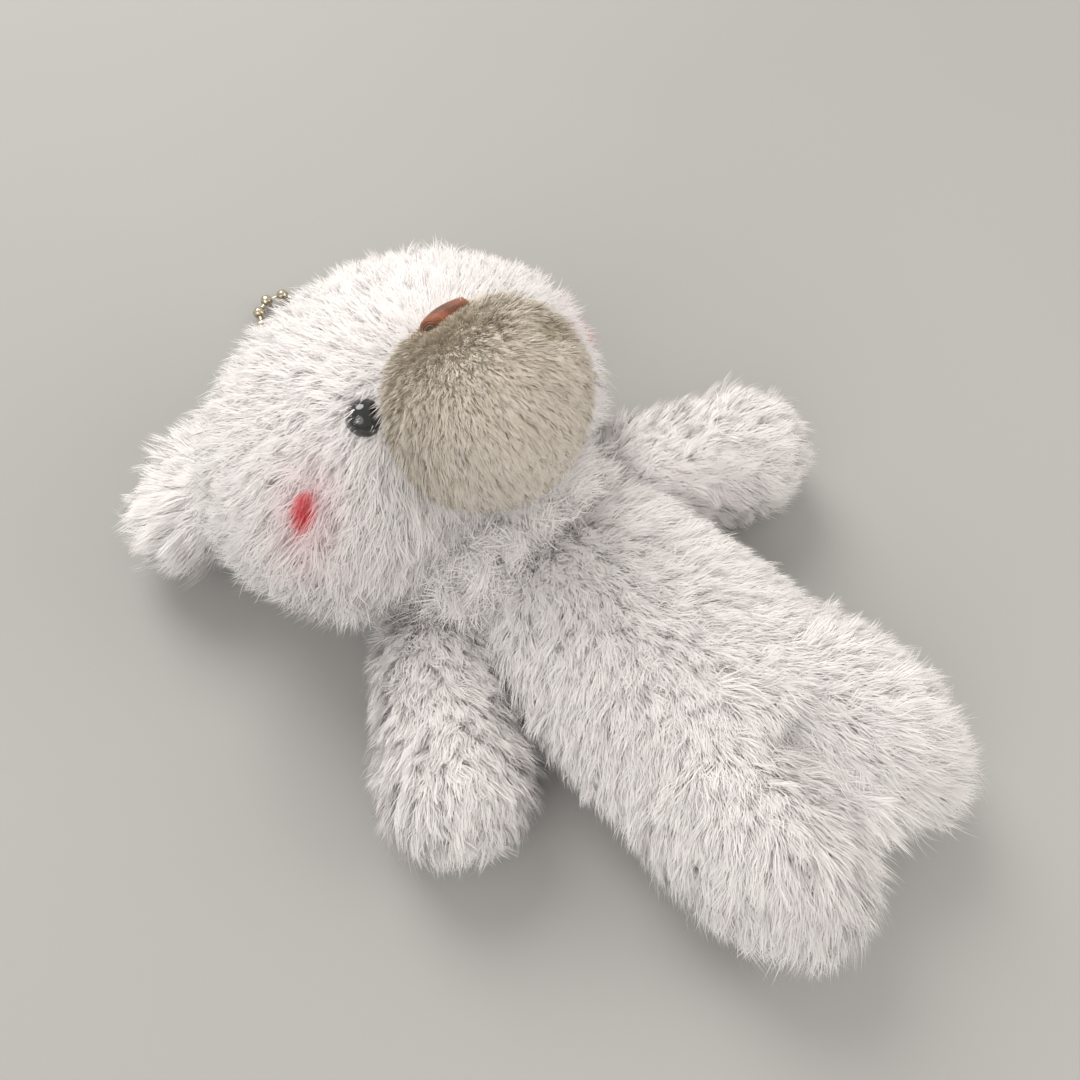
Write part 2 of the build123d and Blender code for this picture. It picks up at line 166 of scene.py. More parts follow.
def knitBacking(name, look):
    # The knitted ground that the pile is locked into: rows of small loops, seen where the pile parts.
    material, tree, shader = newFinish(name, look["surface"])
    place = addNode(tree, "ShaderNodeTexCoord")
    loops = addNode(
        tree, "ShaderNodeTexVoronoi", {"feature": "F1"},
        {"Vector": place.outputs["Object"], "Scale": 1 / (look["loopMm"] * mm)},
    )
    cloud = addNode(
        tree, "ShaderNodeTexNoise", {},
        {"Vector": place.outputs["Object"], "Scale": 1 / (look["cloudMm"] * mm), "Detail": 4.0},
    )
    shade = addNode(tree, "ShaderNodeValToRGB", {"stops": look["shades"]}, {"Fac": cloud.outputs["Fac"]})
    tree.links.new(shade.outputs["Color"], shader.inputs["Base Color"])
    bump = addNode(
        tree, "ShaderNodeBump", {},
        {"Strength": 0.5, "Distance": 0.15 * mm, "Height": loops.outputs["Distance"]},
    )
    tree.links.new(bump.outputs["Normal"], shader.inputs["Normal"])
    return material


def twistedThread(name, look):
    # Plied and mercerised embroidery thread: fine ridges wind round it and their crowns shine, with a painted
    # highlight on the crowns and painted shade in the grooves.
    material, tree, shader = newFinish(name, look["surface"])
    place = addNode(tree, "ShaderNodeTexCoord")
    ply = addNode(
        tree, "ShaderNodeTexWave", {"wave_type": "BANDS", "bands_direction": "DIAGONAL"},
        {"Vector": place.outputs["Object"], "Scale": 1 / (look["plyMm"] * mm) / 20, "Distortion": 2.0},
    )
    cloud = addNode(
        tree, "ShaderNodeTexNoise", {},
        {"Vector": place.outputs["Object"], "Scale": 1 / (look["cloudMm"] * mm), "Detail": 3.0},
    )
    # painted highlight and shade: the ridge bands, mixed with random tone, make the colour lighter on the
    # crowns and darker between them
    both = addNode(
        tree, "ShaderNodeMath", {"operation": "MULTIPLY"}, {0: ply.outputs["Fac"], 1: cloud.outputs["Fac"]},
    )
    shade = addNode(tree, "ShaderNodeValToRGB", {"stops": look["shades"]}, {"Fac": both.outputs[0]})
    tree.links.new(shade.outputs["Color"], shader.inputs["Base Color"])
    bump = addNode(
        tree, "ShaderNodeBump", {}, {"Strength": 0.4, "Distance": 0.05 * mm, "Height": ply.outputs["Fac"]},
    )
    tree.links.new(bump.outputs["Normal"], shader.inputs["Normal"])
    return material


def smoothHard(name, look):
    # Moulded or plated: one colour underneath, with handling marks that only break up the gloss.
    material, tree, shader = newFinish(name, look["surface"])
    place = addNode(tree, "ShaderNodeTexCoord")
    marks = addNode(
        tree, "ShaderNodeTexNoise", {},
        {"Vector": place.outputs["Object"], "Scale": 1 / (look["marksMm"] * mm), "Detail": 5.0},
    )
    gloss = addNode(
        tree, "ShaderNodeMapRange", {},
        {"Value": marks.outputs["Fac"], "To Min": look["gloss"][0], "To Max": look["gloss"][1]},
    )
    shade = addNode(tree, "ShaderNodeValToRGB", {"stops": look["shades"]}, {"Fac": marks.outputs["Fac"]})
    tree.links.new(shade.outputs["Color"], shader.inputs["Base Color"])
    tree.links.new(gloss.outputs["Result"], shader.inputs["Roughness"])
    return material


whitePile = acrylicPile("brushedAcrylicPileWhite", {
    "surface": {"Roughness": 0.75, "IOR": 1.46, "Sheen Weight": 0.25, "Sheen Roughness": 0.5},
    "rootToTip": [(0.0, "#F3F1F2"), (0.35, "#F9F8F8"), (0.8, "#FDFCFC"), (1.0, "#FFFFFF")],
    "shades": [(0.0, "#F6F4F6"), (0.5, "#FCFBFB"), (1.0, "#FFFFFF")],
    "dyeAndShadeColours": [(0.0, "#FFFFFF"), (0.3, "#F8DDE0"), (0.6, "#F18E94"), (1.0, "#DF2D38")],
})
creamPile = acrylicPile("shornAcrylicPileCream", {
    "surface": {"Roughness": 0.8, "IOR": 1.46, "Sheen Weight": 0.2, "Sheen Roughness": 0.5},
    "rootToTip": [(0.0, "#E9E3D9"), (0.4, "#F3EEE6"), (1.0, "#FAF6F0")],
    "shades": [(0.0, "#F1EDE4"), (0.5, "#FAF7F1"), (1.0, "#FFFEFB")],
    # painted shade: khaki for the crease round the muzzle's dart
    "dyeAndShadeColours": [(0.0, "#FFFFFF"), (1.0, "#C4C3A2")],
})
whiteBacking = knitBacking("weftKnitBackingWhite", {
    "surface": {"Roughness": 0.9, "IOR": 1.46, "Sheen Weight": 0.2},
    "shades": [(0.3, "#ECE9EA"), (0.7, "#F7F5F5")],
    "loopMm": 0.7,
    "cloudMm": 5.0,
})
creamBacking = knitBacking("weftKnitBackingCream", {
    "surface": {"Roughness": 0.9, "IOR": 1.46, "Sheen Weight": 0.2},
    "shades": [(0.3, "#D3CCBC"), (0.7, "#E3DDCF")],
    "loopMm": 0.6,
    "cloudMm": 4.0,
})
noseFloss = twistedThread("mercerisedCottonFlossBrown", {
    "surface": {"Roughness": 0.42, "IOR": 1.53, "Sheen Weight": 0.3},
    "shades": [(0.0, "#6B3A20"), (0.45, "#94522F"), (1.0, "#AE6E49")],
    "plyMm": 0.35,
    "cloudMm": 1.2,
})
creamThread = twistedThread("spunPolyesterThreadCream", {
    "surface": {"Roughness": 0.6, "IOR": 1.55},
    "shades": [(0.0, "#A79F8A"), (0.5, "#C9C1AE"), (1.0, "#DDD6C6")],
    "plyMm": 0.3,
    "cloudMm": 1.0,
})
loopBraid = twistedThread("braidedNylonCordWhite", {
    "surface": {"Roughness": 0.5, "IOR": 1.53},
    "shades": [(0.0, "#B9B4A8"), (0.5, "#DAD6CC"), (1.0, "#EFECE4")],
    "plyMm": 0.45,
    "cloudMm": 1.5,
})
eyeButton = smoothHard("mouldedPolystyreneBlack", {
    "surface": {"IOR": 1.59, "Coat Weight": 0.6, "Coat Roughness": 0.04},
    "shades": [(0.35, "#0E1114"), (0.7, "#1C2125")],
    "gloss": (0.06, 0.16),
    "marksMm": 1.2,
})
washerNylon = smoothHard("mouldedNylonNatural", {
    "surface": {"IOR": 1.53},
    "shades": [(0.35, "#C9C8C0"), (0.7, "#DEDDD6")],
    "gloss": (0.4, 0.55),
    "marksMm": 1.5,
})
chainNickel = smoothHard("nickelPlatedSteel", {
    "surface": {"Metallic": 1.0},
    "shades": [(0.3, "#B5AC96"), (0.55, "#D2CAB4"), (0.8, "#E0D9C6")],
    "gloss": (0.14, 0.34),
    "marksMm": 0.8,
})


def setFinish(piece, material):
    piece.data.materials.clear()
    piece.data.materials.append(material)


# The skins are blown up by a pressure simulation
simScale = 10  # a pad is blown up ten times its size, where the cloth solver is steady
simFrames = 20
floorGap = 0.3  # between a skin and the table, filled by flattened pile


def newPiece(name, mesh):
    piece = bpy.data.objects.new(name, mesh)
    bpy.context.scene.collection.objects.link(piece)
    return piece


def bakeModifiers(piece):
    graph = bpy.context.evaluated_depsgraph_get()
    mesh = bpy.data.meshes.new_from_object(piece.evaluated_get(graph))
    piece.modifiers.clear()
    old, piece.data = piece.data, mesh
    bpy.data.meshes.remove(old)


def meshPoints(mesh, what="co"):
    values = np.empty(len(mesh.vertices) * 3)
    mesh.vertices.foreach_get(what, values)
    return values.reshape(-1, 3)


def hullsToMesh(name, hulls):
    rough = bmesh.new()
    for points in hulls:
        corners = [rough.verts.new(point * mm * simScale) for point in points]
        bmesh.ops.convex_hull(rough, input=corners)
        bmesh.ops.delete(rough, geom=[v for v in rough.verts if not v.link_faces], context="VERTS")
    mesh = bpy.data.meshes.new(name)
    rough.to_mesh(mesh)
    rough.free()
    return mesh


def puffPad(name, hulls, look):
    print("stuffing", name)
    pad = newPiece(name, hullsToMesh(name, hulls))
    remesh = pad.modifiers.new("remesh", "REMESH")
    remesh.mode = "VOXEL"
    remesh.voxel_size = look["voxelMm"] * mm * simScale
    relax = pad.modifiers.new("relax", "SMOOTH")
    relax.iterations = look["relax"]
    bakeModifiers(pad)
    before = meshPoints(pad.data) - meshPoints(pad.data, "normal") * look["startSmallerMm"] * mm * simScale
    pad.data.vertices.foreach_set("co", before.ravel())
    pad.data.update()
    cloth = pad.modifiers.new("pressure", "CLOTH")
    cloth.settings.quality = 4
    cloth.settings.use_pressure = True
    cloth.settings.uniform_pressure_force = look["pressure"]
    cloth.settings.effector_weights.gravity = 0
    cloth.collision_settings.use_collision = False
    cloth.point_cache.frame_start = 1
    cloth.point_cache.frame_end = simFrames
    for number in range(1, simFrames + 1):
        bpy.context.scene.frame_set(number)
    graph = bpy.context.evaluated_depsgraph_get()
    after = meshPoints(pad.evaluated_get(graph).data)
    pad.modifiers.remove(cloth)
    bpy.context.scene.frame_set(1)
    move = after - before
    reach = np.linalg.norm(move, axis=1, keepdims=True)
    move *= np.minimum(1, look["capMm"] * mm * simScale / np.maximum(reach, 1e-9))
    pad.data.vertices.foreach_set("co", (before + move).ravel())
    smooth = pad.modifiers.new("smooth", "SUBSURF")
    smooth.levels = 1
    bakeModifiers(pad)
    points = meshPoints(pad.data) / simScale
    points[:, 2] = np.maximum(points[:, 2], floorGap * mm)
    pad.data.vertices.foreach_set("co", points.ravel())
    pad.data.update()
    pad.data.polygons.foreach_set("use_smooth", np.ones(len(pad.data.polygons), bool))
    return pad


def halfOfPad(pad, name, side):
    # A closed half on one side of the bear's middle line
    form = bmesh.new()
    form.from_mesh(pad.data)
    middle = Vector((hipMiddle * mm, 0, 0))
    cut = bmesh.ops.bisect_plane(
        form, geom=form.verts[:] + form.edges[:] + form.faces[:], plane_co=middle,
        plane_no=(-side, 0, 0), clear_outer=True,
    )
    rim = [e for e in cut["geom_cut"] if isinstance(e, bmesh.types.BMEdge)]
    bmesh.ops.contextual_create(form, geom=rim)
    mesh = bpy.data.meshes.new(name)
    form.to_mesh(mesh)
    form.free()
    mesh.polygons.foreach_set("use_smooth", np.ones(len(mesh.polygons), bool))
    return newPiece(name, mesh)


def treeOf(pad):
    mesh = pad.data
    mesh.calc_loop_triangles()
    corners = [tuple(t.vertices) for t in mesh.loop_triangles]
    return BVHTree.FromPolygons([tuple(p) for p in meshPoints(mesh) / mm], corners)


def insideAny(points, trees):
    inside = np.zeros(len(points), bool)
    for tree in trees:
        for index in np.flatnonzero(~inside):
            point = Vector(points[index])
            near, normal, _, gap = tree.find_nearest(point, 4.0)
            if near is not None and (point - near).dot(normal) < 0 and gap > 0.15:
                inside[index] = True
    return inside


def scatterRoots(pad, look):
    # Even random places over the skin, each with its outward direction
    mesh = pad.data
    mesh.calc_loop_triangles()
    points, normals = meshPoints(mesh) / mm, meshPoints(mesh, "normal")
    corners = np.empty(len(mesh.loop_triangles) * 3, int)
    mesh.loop_triangles.foreach_get("vertices", corners)
    corners = corners.reshape(-1, 3)
    a, b, c = (points[corners[:, k]] for k in range(3))
    area = np.linalg.norm(np.cross(b - a, c - a), axis=1) / 2
    count = int(area.sum() * look["perSquareMm"] * (1))
    chosen = rng.choice(len(area), count, p=area / area.sum())
    share = np.sort(rng.random((count, 2)), axis=1)
    weights = np.stack([share[:, 0], share[:, 1] - share[:, 0], 1 - share[:, 1]], axis=1)[:, :, None]
    roots = (points[corners[chosen]] * weights).sum(axis=1)
    return roots, unit((normals[corners[chosen]] * weights).sum(axis=1))


# What every pile does, whatever its length: chances and spreads are shares of one
pileHabit = {
    "facingDown": -0.6,
    "onTableMm": 3,
    "rubbedAway": 0.5,  # share of the fibres that the table has rubbed away
    "leastLength": 0.72,
    "mostLength": 1.1,
    "pressedFacing": -0.3,
    "pressedMm": 4,
    "pressedLength": 0.7,
    "tuftLeanDegrees": 6,
    "fibreLeanDegrees": 5,
    "underPull": 0.15,  # how much of the tufts' pull the undercoat feels
    "lowestMm": 0.12,
    "lowestSpreadMm": 0.25,
    "leastWidth": 0.7,
    "mostWidth": 1.25,
    "toneMiddle": 0.55,
    "toneOfTufts": 0.22,
    "toneOfFibres": 0.16,
}
# A fibre's width along its length: a little waist at the root and a drawn-out tip
taperPlaces = [0, 0.45, 0.8, 1]
taperWidths = [0.8, 1.0, 0.62, 0]


def growPile(pad, look, comb, length, skip=None, dye=None, blockers=()):
    # Each fibre leaves the skin steeply, bends over towards the comb's direction and closes up
    # with its neighbours towards the tip, so that the pile ends in small pointed tufts
    print("growing pile on", pad.name)
    roots, normals = scatterRoots(pad, look)
    keep = np.ones(len(roots), bool) if skip is None else ~skip(roots)
    habit = pileHabit
    onTable = (normals[:, 2] < habit["facingDown"]) & (roots[:, 2] < habit["onTableMm"])
    keep &= ~(onTable & (rng.random(len(roots)) < habit["rubbedAway"]))
    roots, normals = roots[keep], normals[keep]
    keep = ~insideAny(roots, blockers)
    roots, normals = roots[keep], normals[keep]
    count = len(roots)
    steps = look["segments"]

    tuftCount = max(1, int(count / look["fibresPerTuft"]))
    leaders = rng.choice(count, tuftCount, replace=False)
    tree = KDTree(tuftCount)
    for index, leader in enumerate(leaders):
        tree.insert(Vector(roots[leader]), index)
    tree.balance()
    tuft = np.array([tree.find(Vector(root))[1] for root in roots])

    wanted = comb(roots, normals)
    wanted = wanted + rng.normal(0, look["tuftTwist"], (tuftCount, 3))[tuft]
    wanted = wanted + rng.normal(0, look["fibreTwist"], (count, 3))
    wanted -= (wanted * normals).sum(axis=1, keepdims=True) * normals
    wanted = unit(wanted)
    lengths = length(roots, normals) * (1 + rng.normal(0, look["tuftUneven"], tuftCount))[tuft]
    lengths *= rng.uniform(habit["leastLength"], habit["mostLength"], count)
    # the shorter undercoat stands between the tufts and fills the hollows
    under = rng.random(count) < look["underShare"]
    under[leaders] = False
    lengths = np.where(under, lengths * look["underLength"], lengths)
    pressed = (normals[:, 2] < habit["pressedFacing"]) & (roots[:, 2] < habit["pressedMm"])
    lengths = np.where(pressed, lengths * habit["pressedLength"], lengths)

    lean = rng.normal(0, habit["tuftLeanDegrees"], tuftCount)[tuft]
    lean = lean + rng.normal(0, habit["fibreLeanDegrees"], count)
    path = [roots]
    for step in range(steps):
        part = (step + 0.5) / steps
        angle = np.radians(look["rootAngle"] + (look["tipAngle"] - look["rootAngle"]) * part + lean)[:, None]
        forward = normals * np.sin(angle) + wanted * np.cos(angle)
        path.append(path[-1] + forward * (lengths / steps)[:, None])
    path = np.stack(path, axis=1)
    along = np.arange(steps + 1) / steps
    side = np.cross(normals, wanted)
    wave = np.sin(rng.uniform(0, 2 * math.pi, count)[:, None] + along * look["waves"] * 2 * math.pi)
    path = path + side[:, None, :] * (wave * along * look["waveMm"])[:, :, None]
    leader = path[leaders][tuft]
    pull = (look["tuftPull"] * along ** 1.3)[None, :, None]
    pull = pull * np.where(under, habit["underPull"], 1.0)[:, None, None]
    path = path * (1 - pull) + leader * pull
    low = habit["lowestMm"] + habit["lowestSpreadMm"] * rng.random(count)[:, None]
    path[:, 1:, 2] = np.maximum(path[:, 1:, 2], low)

    ahead = unit(np.gradient(path, axis=1))
    roll = rng.uniform(-1, 1, count)[:, None, None] * look["roll"]
    across = unit(np.cross(ahead, normals[:, None, :]) + roll * normals[:, None, :])
    taper = np.interp(along, taperPlaces, taperWidths)
    width = look["fibreMm"] * rng.uniform(habit["leastWidth"], habit["mostWidth"], count)[:, None] * taper / 2
    left = path - across * width[:, :, None]
    right = path + across * width[:, :, None]
    tone = rng.normal(habit["toneMiddle"], habit["toneOfTufts"], tuftCount)[tuft]
    tone = np.clip(tone + rng.normal(0, habit["toneOfFibres"], count), 0, 1)
    tint = np.zeros(path.shape[:2])
    # real dye and painted shade share this channel
    if dye is not None:
        tint = dye(path.reshape(-1, 3)).reshape(path.shape[:2])
    return {
        "root": roots, "outward": normals, "left": left, "right": right, "tip": path[:, -1],
        "tone": tone, "dye": tint,
    }


def pileMesh(name, pile, chosen):
    left, right, tip = (pile[key][chosen] for key in ("left", "right", "tip"))
    count, rows = left.shape[0], left.shape[1] - 1
    corners = np.empty((count, 2 * rows + 1, 3))
    corners[:, 0:2 * rows:2] = left[:, :rows]
    corners[:, 1:2 * rows:2] = right[:, :rows]
    corners[:, -1] = tip
    perFibre = 2 * rows + 1
    faces = []
    for row in range(rows - 1):
        faces += [2 * row, 2 * row + 1, 2 * row + 3, 2 * row + 2]
    faces += [2 * rows - 2, 2 * rows - 1, 2 * rows]
    loops = (np.array(faces)[None, :] + np.arange(count)[:, None] * perFibre).ravel()
    starts = [4 * row for row in range(rows)]
    starts = (np.array(starts)[None, :] + np.arange(count)[:, None] * len(faces)).ravel()
    mesh = bpy.data.meshes.new(name)
    mesh.vertices.add(count * perFibre)
    mesh.vertices.foreach_set("co", (corners * mm).ravel())
    mesh.loops.add(len(loops))
    mesh.loops.foreach_set("vertex_index", loops.astype(np.int32))
    mesh.polygons.add(count * rows)
    mesh.polygons.foreach_set("loop_start", starts.astype(np.int32))
    mesh.update(calc_edges=True)
    mesh.polygons.foreach_set("use_smooth", np.ones(count * rows, bool))
    level = [row // 2 for row in range(2 * rows)] + [rows]
    along = np.array(level) / rows
    values = {
        "along": np.tile(along, count),
        "tone": np.repeat(pile["tone"][chosen], perFibre),
        "dye": pile["dye"][chosen][:, level].ravel(),
    }
    for key, value in values.items():
        mesh.attributes.new(key, "FLOAT", "POINT").data.foreach_set("value", value.astype(np.float32))
    # Every fibre has a small cell of its own in the map
    columns = math.ceil(math.sqrt(count))
    fibre = np.arange(count)
    sideways = np.tile([0.15, 0.85] * rows + [0.5], count)
    upwards = np.tile(0.1 + 0.8 * along, count)
    flat = np.stack([
        (np.repeat(fibre % columns, perFibre) + sideways) / columns,
        (np.repeat(fibre // columns, perFibre) + upwards) / columns,
    ], axis=1)
    layout = mesh.uv_layers.new(name="OFBake")
    layout.data.foreach_set("uv", flat[loops].astype(np.float32).ravel())
    # fine fibres scatter light like the soft mass they stand in, so they shade nearly as its surface
    mesh.normals_split_custom_set_from_vertices(np.repeat(pile["outward"][chosen], perFibre, axis=0))
    return mesh


def pilePiece(name, pile, chosen, material):
    piece = newPiece(name, pileMesh(name, pile, chosen))
    setFinish(piece, material)
    return piece


print("body")
bodyLook = {
    "voxelMm": 1.6,
    "relax": 8,
    "startSmallerMm": 1.2,
    "pressure": 4,
    "capMm": 1.3,
    "bellyDentMm": 1.0,
    "webHalfMm": 10.0,
    "webFootMm": 5.0,
    "webTopMm": 19.0,
    "fill": 0.7,
}
bodyPileLook = {
    "perSquareMm": 22,
    "segments": 3,
    "fibreMm": 0.15,
    "fibresPerTuft": 26,
    "tuftPull": 0.3,
    "tuftTwist": 0.3,
    "fibreTwist": 0.22,
    "tuftUneven": 0.2,
    "rootAngle": 62,
    "tipAngle": 18,
    "waveMm": 0.35,
    "waves": 0.8,
    "roll": 0.4,
    "underShare": 0.6,
    "underLength": 0.7,
    "lengthMm": 4.8,
    "footLengthMm": 7.2,
}
hipMiddle = (hipPlace["left"][0] + hipPlace["right"][0]) / 2
torsoPoints = nodePoints(*panels("body"))
bodyHulls = [torsoPoints]
for side in ("left", "right"):
    leg = nodePoints(*panels(f"leg_{side}"))
    # the leg's cut end reaches into the torso, so that the two fuse
    cutEnd = leg[:, 1] > leg[:, 1].max() - 0.5
    leg[cutEnd, 1] += 4
    bodyHulls.append(leg)
    # the thighs press together: a lower web of skin joins their inner sides
    inner = leg[np.abs(leg[:, 0] - hipMiddle) < bodyLook["webHalfMm"]]
    inner = inner[inner[:, 1] > leg[:, 1].min() + bodyLook["webFootMm"]]
    web = np.concatenate([inner, inner * (0, 1, 1) + (hipMiddle, 0, 0)])
    web[:, 2] = np.minimum(web[:, 2], bodyLook["webTopMm"])
    bodyHulls.append(web)
bodyPad = puffPad("bodyPadWhole", bodyHulls, bodyLook)
hipLine = hipPlace["left"][1]

# a soft dent where the belly meets the legs
points = meshPoints(bodyPad.data)
dentPlace = np.array([hipMiddle + 5, hipLine + 7])
away = np.linalg.norm(points[:, :2] / mm - dentPlace, axis=1)
upper = points[:, 2] > 14 * mm
points[:, 2] -= np.where(upper, bodyLook["bellyDentMm"] * mm * np.exp(-(away / 6) ** 2), 0)
bodyPad.data.vertices.foreach_set("co", points.ravel())
bodyPad.data.update()


def bodyComb(roots, normals):
    # down towards the feet and out to both sides
    away = np.zeros_like(roots)
    away[:, 0] = np.clip((roots[:, 0] - hipMiddle) / 16, -1, 1)
    away[:, 1] = -0.75
    away[:, 2] = -0.25
    return away


def bodyLength(roots, normals):
    towardsFeet = np.clip((hipLine - roots[:, 1]) / 22, 0, 1)
    return bodyPileLook["lengthMm"] + towardsFeet * (bodyPileLook["footLengthMm"] - bodyPileLook["lengthMm"])


armLook = {
    "voxelMm": 1.2,
    "relax": 6,
    "startSmallerMm": 1.1,
    "pressure": 4,
    "capMm": 1.2,
    "fill": 0.75,
    "lengthMm": 4.6,
    "pawLengthMm": 5.4,
}
armPileLook = dict(bodyPileLook, fibresPerTuft=30, tuftPull=0.5)


def armWay(side):
    points = nodePoints(*panels(f"arm_{side}"))
    low, high = points.min(axis=0), points.max(axis=0)
    paw = high[2] / 2
    outer = high[0] - paw if side == "left" else low[0] + paw
    way = np.array([outer, low[1] + paw, high[2] / 2]) - shoulder[side]
    way[2] = 0
    return way


def armComb(side):
    way = armWay(side)

    def comb(roots, normals):
        return unit(way) * 0.9 + normals * 0.2 + np.array([0, 0, -0.15])
    return comb


def armLength(side):
    way = armWay(side)
    reach = np.linalg.norm(way)

    def length(roots, normals):
        share = np.clip(((roots - shoulder[side]) @ unit(way)) / (reach + 8), 0, 1)
        return armLook["lengthMm"] + share * (armLook["pawLengthMm"] - armLook["lengthMm"])
    return length


print("arms")
armPad = {side: puffPad(f"armPad_{side}", [nodePoints(*panels(f"arm_{side}"))], armLook) for side in shoulder}


print("neck")
neckLook = {
    "voxelMm": 1.4,
    "relax": 4,
    "startSmallerMm": 0.6,
    "pressure": 4,
    "capMm": 0.8,
    "halfWidthMm": 20.0,
    "halfDepthMm": 14.0,
    "halfLengthMm": 8.5,
    "fill": 0.5,
    "lengthMm": 7.0,
}


def neckRing():
    # a stuffed collar that fills the neck between the shoulders and the jaw
    rings = []
    for level in np.linspace(-1, 1, 7):
        shrink = math.sqrt(max(0.05, 1 - 0.6 * level * level))
        for angle in np.linspace(0, 2 * math.pi, 28, endpoint=False):
            rings.append([
                neckPlace[0] + neckLook["halfWidthMm"] * shrink * math.cos(angle),
                neckPlace[1] + neckLook["halfLengthMm"] * level,
                max(0.5, neckPlace[2] + neckLook["halfDepthMm"] * shrink * math.sin(angle)),
            ])
    return np.array(rings)


neckPad = puffPad("neckPad", [neckRing()], neckLook)


print("head")
headLook = {
    "voxelMm": 1.6,
    "relax": 6,
    "startSmallerMm": 1.2,
    "pressure": 4,
    "capMm": 1.3,
    "fill": 0.85,
    "faceLengthMm": 3.6,
    "sideLengthMm": 5.4,
    "cheekLengthMm": 6.6,
    "eyeGapMm": 2.5,
}
headPileLook = dict(bodyPileLook, fibresPerTuft=20, tuftPull=0.3, tipAngle=18)
cheekLook = {
    "leftOutMm": 33.0,
    "rightOutMm": 27.0,
    "downMm": 9.1,
    "coreMm": 1.9,
    "haloMm": 4.6,
}
headPad = puffPad("headPad", [headPoints], headLook)


def faceFrame(points):
    # places as seen on the face: to the bear's left, up to the crown and out of the face
    away = points - headMiddle
    return away @ faceAcross, away @ faceUp, away @ faceAhead


def headComb(roots, normals):
    across, up, ahead = faceFrame(roots)
    outward = faceAcross * across[:, None] + faceUp * (up + 8)[:, None]
    low = np.clip((-up - 2) / 14, 0, 1)[:, None]
    return unit(outward) - faceUp * low * 0.7 - faceAhead * 0.25


def headLength(roots, normals):
    across, up, ahead = faceFrame(roots)
    facing = np.clip(ahead / headRadius, 0, 1)
    length = headLook["sideLengthMm"] + (headLook["faceLengthMm"] - headLook["sideLengthMm"]) * facing ** 1.5
    cheek = np.exp(-((np.abs(across) - 22) / 10) ** 2) * np.clip((-up - 2) / 12, 0, 1)
    return length + cheek * (headLook["cheekLengthMm"] - length)


def cheekDye(points):
    across, up, ahead = faceFrame(points)
    out = np.where(across > 0, cheekLook["leftOutMm"], cheekLook["rightOutMm"])
    away = np.hypot(np.abs(across) - out, up + cheekLook["downMm"])
    core = np.exp(-(away / cheekLook["coreMm"]) ** 4)
    halo = 0.24 * np.exp(-(away / cheekLook["haloMm"]) ** 2)
    return np.maximum(core, halo) * rng.uniform(0.8, 1, len(points)) * np.clip(ahead / 4, 0, 1)


eyePlaces = [nodePoints(name).mean(axis=0) for name in ("eye_left", "eye_right")]


def headSkip(roots):
    bare = np.zeros(len(roots), bool)
    for place in eyePlaces:
        bare |= np.linalg.norm(roots - place, axis=1) < headLook["eyeGapMm"]
    return bare


print("muzzle")
muzzleLook = {
    "voxelMm": 0.9,
    "relax": 5,
    "startSmallerMm": 0.4,
    "pressure": 4,
    "capMm": 0.5,
    "fill": 0.85,
    "crown": 0.05,  # the stuffing pushes the end of the muzzle out this much
    "dartDepthMm": 1.8,
    "dartWidthMm": 2.2,
}
muzzlePileLook = {
    "perSquareMm": 38,
    "segments": 2,
    "fibreMm": 0.11,
    "fibresPerTuft": 22,
    "tuftPull": 0.24,
    "tuftTwist": 0.22,
    "fibreTwist": 0.2,
    "tuftUneven": 0.12,
    "rootAngle": 68,
    "tipAngle": 38,
    "waveMm": 0.08,
    "waves": 0.6,
    "roll": 0.4,
    "underShare": 0.4,
    "underLength": 0.75,
    "lengthMm": 2.3,
}
crowned = 1 + muzzleLook["crown"] * np.clip((muzzlePoints[:, 2:] - headMiddle[2]) / headRadius, 0, 1)
muzzlePad = puffPad("muzzlePad", [muzzleMiddle + (muzzlePoints - muzzleMiddle) * crowned], muzzleLook)
dartPlace = nodePoints("muzzle_dart_stitch").mean(axis=0)
nosePlace = nodePoints("nose_embroidery").mean(axis=0)
points = meshPoints(muzzlePad.data) / mm
away = np.linalg.norm(points - dartPlace, axis=1)
sink = muzzleLook["dartDepthMm"] * np.exp(-(away / muzzleLook["dartWidthMm"]) ** 2)
points += unit(muzzleMiddle - points) * sink[:, None]
muzzlePad.data.vertices.foreach_set("co", (points * mm).ravel())
muzzlePad.data.update()


def muzzleComb(roots, normals):
    # the nap streams from the nose, down and round both sides
    flow = roots - nosePlace
    towardsDart = dartPlace - roots
    near = np.exp(-(np.linalg.norm(towardsDart, axis=1, keepdims=True) / 3.5) ** 2)
    return unit(flow) + np.array([0, -0.5, -0.1]) + unit(towardsDart) * near * 1.2


def muzzleLength(roots, normals):
    away = np.linalg.norm(roots - nosePlace, axis=1)
    nearDart = np.exp(-(np.linalg.norm(roots - dartPlace, axis=1) / 2.2) ** 2)
    return muzzlePileLook["lengthMm"] * (0.45 + 0.55 * np.clip((away - 3) / 6, 0, 1)) * (1 - 0.6 * nearDart)


# painted shade: the pile round the dart is darkened, in the crease where the stitch pulls the muzzle in
def muzzleDartShade(points):
    away = np.linalg.norm(points - dartPlace, axis=1)
    return 0.8 * np.exp(-(away / 2.4) ** 2) * rng.uniform(0.6, 1, len(points))


noseLook = {
    "widthMm": 8.0,
    "heightMm": 3.8,
    "bowMm": 5.2,
    "paddingMm": 1.35,
    "threadMm": 0.3,
    "liftDegrees": 45,
}
noseAhead = faceAhead * math.cos(math.radians(noseLook["liftDegrees"]))
noseAhead = noseAhead + faceUp * math.sin(math.radians(noseLook["liftDegrees"]))
noseUp = np.cross(noseAhead, faceAcross)


def noseFlat(points):
    away = points - nosePlace
    return away @ faceAcross, away @ noseUp


